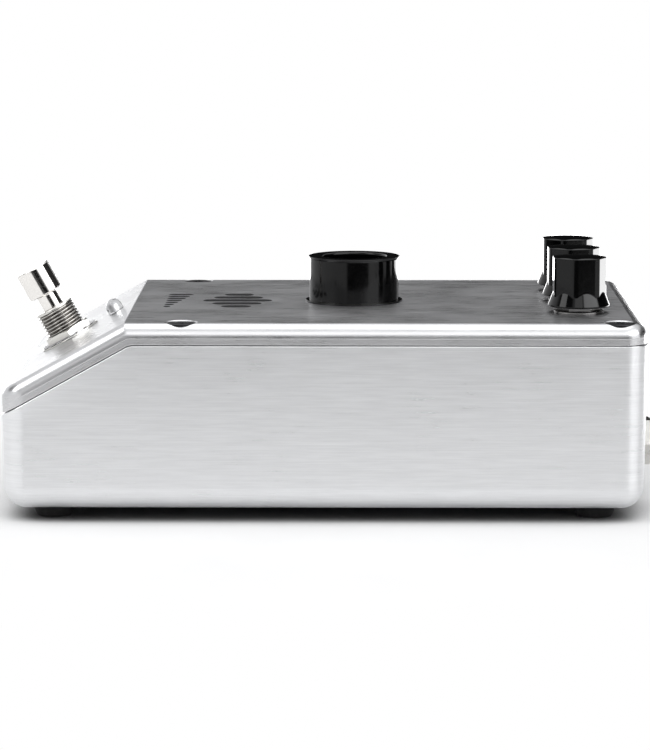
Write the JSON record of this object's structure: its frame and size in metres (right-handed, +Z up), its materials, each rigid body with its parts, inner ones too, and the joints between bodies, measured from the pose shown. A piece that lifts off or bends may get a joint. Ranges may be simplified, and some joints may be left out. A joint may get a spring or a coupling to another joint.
{
  "type": "guitar effects pedal",
  "caption": "Sloped-front metal effects pedal with a stomp switch and lamp on the ramp, a black sound-tube collar, faceted control knobs and rear jacks.",
  "frame": {"origin": "on the floor under the feet, at the middle of the whole object's footprint", "axes": "+X from the ramp with the stomp switch towards the rear jacks, +Y to the left seen from the ramp end looking along +X, +Z up"},
  "size_m": [0.1925, 0.116, 0.0753],
  "materials": {
    "brushed_case": "horizontally brushed and clear coated, fine grain",
    "brushed_lid": "brushed and clear coated, rolled edges polished brighter",
    "black_screw": "black oxide",
    "foot_rubber": "matte moulded rubber",
    "zinc_screw": "zinc plated",
    "zinc_nut": "zinc plated",
    "collar_plastic": "black, semi-gloss turned plastic",
    "plain_steel": "plain machined steel",
    "ferrite": "dark grey ferrite",
    "copper_wire": "enamelled copper winding",
    "diaphragm_film": "formed phenolic film",
    "black_enamel": "black enamel",
    "brass_tab": "tinned brass",
    "red_wire": "wire insulation",
    "blue_wire": "wire insulation",
    "grey_cable": "flat cable insulation",
    "circuit_board": "solder mask on glass laminate",
    "nylon": "natural nylon",
    "dark_aluminium": "black anodised",
    "chip_plastic": "moulded epoxy",
    "capacitor_sleeve": "shrink sleeve",
    "nickel": "nickel plated",
    "bright_nickel": "polished nickel plate",
    "switch_body": "nickel plated threaded bushing on a moulded body",
    "clear_lens": "water-clear moulded lens",
    "jack_plastic": "black moulded plastic",
    "knob_plastic": "glossy black moulded plastic",
    "plain_aluminium": "turned aluminium"
  },
  "bodies": {
    "case": {"base_tub": "brushed_case", "top_cover": "brushed_lid", "cover_screws": "black_screw", "rubber_feet": "foot_rubber", "foot_screws": "zinc_screw", "tube_collar": "collar_plastic", "collar_locknut": "zinc_nut", "driver_gasket": "foot_rubber", "driver_pole_piece": "plain_steel", "driver_magnet": "ferrite", "driver_rear_plate": "plain_steel", "driver_voice_coil": "copper_wire", "driver_diaphragm": "diaphragm_film", "driver_rear_cap": "black_enamel", "driver_cap_screws": "zinc_screw", "driver_terminals": "brass_tab", "driver_wires": "red_wire", "amp_board": "circuit_board", "board_standoffs": "nylon", "board_screws": "zinc_screw", "amp_heatsink": "dark_aluminium", "amp_chip": "chip_plastic", "amp_capacitors": "capacitor_sleeve", "control_board": "circuit_board", "potentiometers": "plain_steel", "pot_pins": "brass_tab", "pot_washers": "nickel", "pot_nuts": "nickel", "control_ribbon": "grey_cable", "footswitch_body": "switch_body", "footswitch_inner_nut": "nickel", "footswitch_flat_washer": "nickel", "footswitch_lock_washer": "nickel", "footswitch_nut": "nickel", "footswitch_spring": "plain_steel", "footswitch_terminals": "brass_tab", "footswitch_wires": "blue_wire", "indicator_led": "clear_lens", "led_holder": "chip_plastic", "led_board": "circuit_board", "instrument_jacks": "jack_plastic", "jack_washers": "nickel", "jack_nuts": "nickel", "jack_tabs": "brass_tab", "dc_jack": "jack_plastic", "dc_jack_pin": "brass_tab", "dc_jack_nut": "nickel", "jack_board": "circuit_board"},
    "stomp_button": {"footswitch_plunger": "bright_nickel"},
    "volume_control": {"volume_knob": "knob_plastic", "volume_shaft": "plain_aluminium", "volume_set_screw": "black_screw"},
    "gain_control": {"gain_knob": "knob_plastic", "gain_shaft": "plain_aluminium", "gain_set_screw": "black_screw"},
    "tone_control": {"tone_knob": "knob_plastic", "tone_shaft": "plain_aluminium", "tone_set_screw": "black_screw"}
  },
  "joints": [
    {"name": "volume_turn", "type": "hinge", "parent": "case", "child": "volume_control", "pos_m": [0.0733, -0.0277, 0.0583], "axis": [0, 0, 1], "range_deg": [-150, 150]},
    {"name": "gain_turn", "type": "hinge", "parent": "case", "child": "gain_control", "pos_m": [0.0733, 0, 0.0583], "axis": [0, 0, 1], "range_deg": [-150, 150]},
    {"name": "tone_turn", "type": "hinge", "parent": "case", "child": "tone_control", "pos_m": [0.0733, 0.0277, 0.0583], "axis": [0, 0, 1], "range_deg": [-150, 150]},
    {"name": "stomp_press", "type": "slide", "parent": "case", "child": "stomp_button", "axis": [0.4848, 0, -0.8746], "range_m": [0, 0.003], "deforming": ["footswitch_spring"]}
  ]
}
